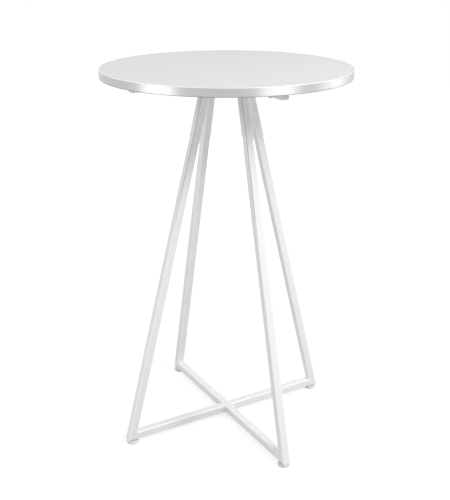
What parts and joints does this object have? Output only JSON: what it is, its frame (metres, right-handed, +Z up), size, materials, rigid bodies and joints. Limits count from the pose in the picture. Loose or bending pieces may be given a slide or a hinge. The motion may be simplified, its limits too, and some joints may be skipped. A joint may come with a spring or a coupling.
{
  "type": "standing meeting table",
  "caption": "Tall round meeting table: white laminated board with a satin edge band on crossed frames of white square steel tube, with levelling feet.",
  "frame": {"origin": "middle of the footprint, on the floor, with the feet screwed right in", "axes": "+Z up; X along the through frame's floor bar and arm; Y along the split frame's"},
  "size_m": [0.6999, 0.7, 1.1],
  "materials": {
    "top_laminate": "satin white laminate with a fine texture",
    "backing_laminate": "plain white balancing sheet",
    "board_core": "raw particle board",
    "edge_band": "satin silver-grey band",
    "white_coating": "white powder coating, satin",
    "plug_plastic": "white moulded plastic",
    "threaded_inserts": "plain",
    "top_screws": "zinc plated",
    "weld_nuts": "plain steel",
    "foot_plastic": "light grey moulded plastic",
    "foot_steel": "zinc plated"
  },
  "bodies": {
    "table": {"arm_back": "white_coating", "arm_front": "white_coating", "arm_plugs": "plug_plastic", "arm_through": "white_coating", "backing_laminate": "backing_laminate", "board_core": "board_core", "edge_band": "edge_band", "floor_bar_back": "white_coating", "floor_bar_front": "white_coating", "floor_bar_through": "white_coating", "floor_welds": "white_coating", "head_welds": "white_coating", "leg_back": "white_coating", "leg_front": "white_coating", "leg_left": "white_coating", "leg_right": "white_coating", "threaded_inserts": "threaded_inserts", "top_laminate": "top_laminate", "top_screws": "top_screws", "weld_nuts": "weld_nuts"},
    "pad_right": {"foot_pad_right": "foot_plastic"},
    "stud_right": {"foot_stud_right": "foot_steel"},
    "pad_back": {"foot_pad_back": "foot_plastic"},
    "stud_back": {"foot_stud_back": "foot_steel"},
    "pad_left": {"foot_pad_left": "foot_plastic"},
    "stud_left": {"foot_stud_left": "foot_steel"},
    "pad_front": {"foot_pad_front": "foot_plastic"},
    "stud_front": {"foot_stud_front": "foot_steel"}
  },
  "joints": [
    {"name": "foot_right_travel", "type": "slide", "parent": "table", "child": "pad_right", "axis": [0, 0, -1], "range_m": [0, 0.015]},
    {"name": "foot_right_turn", "type": "hinge", "parent": "pad_right", "child": "stud_right", "pos_m": [0.329, 0, 0], "axis": [0, 0, -1], "range_deg": [0, 4321]},
    {"name": "foot_back_travel", "type": "slide", "parent": "table", "child": "pad_back", "axis": [0, 0, -1], "range_m": [0, 0.015]},
    {"name": "foot_back_turn", "type": "hinge", "parent": "pad_back", "child": "stud_back", "pos_m": [0, 0.329, 0], "axis": [0, 0, -1], "range_deg": [0, 4321]},
    {"name": "foot_left_travel", "type": "slide", "parent": "table", "child": "pad_left", "axis": [0, 0, -1], "range_m": [0, 0.015]},
    {"name": "foot_left_turn", "type": "hinge", "parent": "pad_left", "child": "stud_left", "pos_m": [-0.329, 0, 0], "axis": [0, 0, -1], "range_deg": [0, 4321]},
    {"name": "foot_front_travel", "type": "slide", "parent": "table", "child": "pad_front", "axis": [0, 0, -1], "range_m": [0, 0.015]},
    {"name": "foot_front_turn", "type": "hinge", "parent": "pad_front", "child": "stud_front", "pos_m": [0, -0.329, 0], "axis": [0, 0, -1], "range_deg": [0, 4321]}
  ],
  "couplings": [
    {"joint": "foot_right_turn", "follows": "foot_right_travel", "rad_per_m": 5026.5},
    {"joint": "foot_back_turn", "follows": "foot_back_travel", "rad_per_m": 5026.5},
    {"joint": "foot_left_turn", "follows": "foot_left_travel", "rad_per_m": 5026.5},
    {"joint": "foot_front_turn", "follows": "foot_front_travel", "rad_per_m": 5026.5}
  ]
}
